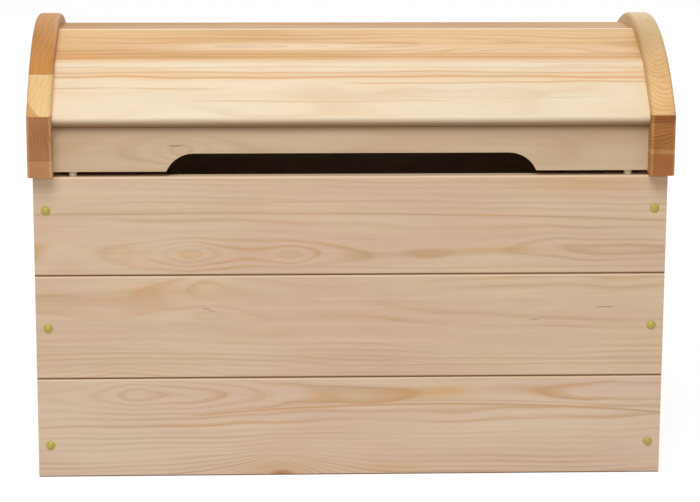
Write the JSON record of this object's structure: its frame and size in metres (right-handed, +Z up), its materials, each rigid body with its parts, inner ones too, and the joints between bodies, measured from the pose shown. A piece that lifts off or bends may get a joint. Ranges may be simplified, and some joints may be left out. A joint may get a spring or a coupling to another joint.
{
  "type": "storage chest",
  "caption": "Pine storage chest: a box of tongued boards with capped screws, under an arched, planked lid with a hand cut-out, butt hinges and a folding stay.",
  "frame": {"origin": "on the floor, at the middle of the chest's width and of the lid's depth", "axes": "+X to the right of the front, +Y from the front to the back, +Z up"},
  "size_m": [0.81, 0.44, 0.57],
  "materials": {
    "wall_pine": "planed pine boards, clear matt oil",
    "lid_pine": "planed pine boards, clear matt oil",
    "arch_pine": "edge-glued pine, clear matt oil, end grain at the ends",
    "cleat_pine": "planed pine, unfinished",
    "floor_plywood": "thin plywood, sanded, unfinished",
    "screw_cap": "moulded plastic, satin, pale wood colour",
    "hinge_steel": "yellow-passivated zinc on steel",
    "stay_steel": "zinc plated steel",
    "bumper": "soft pale rubber, matt"
  },
  "bodies": {
    "box": {"back_board_bottom": "wall_pine", "back_board_middle": "wall_pine", "back_board_top": "wall_pine", "back_screw_caps": "screw_cap", "floor_cleat_back": "cleat_pine", "floor_cleat_front": "cleat_pine", "floor_cleat_left": "cleat_pine", "floor_cleat_right": "cleat_pine", "floor_panel": "floor_plywood", "front_board_bottom": "wall_pine", "front_board_middle": "wall_pine", "front_board_top": "wall_pine", "front_screw_caps": "screw_cap", "left_hinge_box_leaf": "hinge_steel", "left_hinge_pin": "hinge_steel", "left_side_board_bottom": "wall_pine", "left_side_board_middle": "wall_pine", "left_side_board_top": "wall_pine", "right_hinge_box_leaf": "hinge_steel", "right_hinge_pin": "hinge_steel", "right_side_board_bottom": "wall_pine", "right_side_board_middle": "wall_pine", "right_side_board_top": "wall_pine", "stay_box_bracket": "stay_steel"},
    "lid": {"bumper_left": "bumper", "bumper_right": "bumper", "left_arch": "arch_pine", "left_hinge_lid_leaf": "hinge_steel", "left_lid_cleat": "cleat_pine", "lid_back_rail": "lid_pine", "lid_front_rail": "lid_pine", "lid_plank_2": "lid_pine", "lid_plank_3": "lid_pine", "lid_plank_4": "lid_pine", "lid_plank_back": "lid_pine", "lid_plank_front": "lid_pine", "right_arch": "arch_pine", "right_hinge_lid_leaf": "hinge_steel", "right_lid_cleat": "cleat_pine", "stay_lid_bracket": "stay_steel"},
    "stay_lower": {"stay_elbow_rivet": "stay_steel", "stay_lower_arm": "stay_steel"},
    "stay_upper": {"stay_upper_arm": "stay_steel"}
  },
  "joints": [
    {"name": "lid_hinge", "type": "hinge", "parent": "box", "child": "lid", "pos_m": [0, 0.207, 0.3965], "axis": [-1, 0, 0], "range_deg": [0, 95]},
    {"name": "stay_lower_pivot", "type": "hinge", "parent": "box", "child": "stay_lower", "pos_m": [-0.362, 0.12, 0.3], "axis": [-1, 0, 0], "range_deg": [0, 95]},
    {"name": "stay_upper_pivot", "type": "hinge", "parent": "lid", "child": "stay_upper", "pos_m": [-0.3643, 0.057, 0.4265], "axis": [-1, 0, 0], "range_deg": [-95, 0]}
  ],
  "couplings": [
    {"joint": "stay_lower_pivot", "follows": "lid_hinge", "ratio": 1},
    {"joint": "stay_upper_pivot", "follows": "lid_hinge", "ratio": -1}
  ]
}
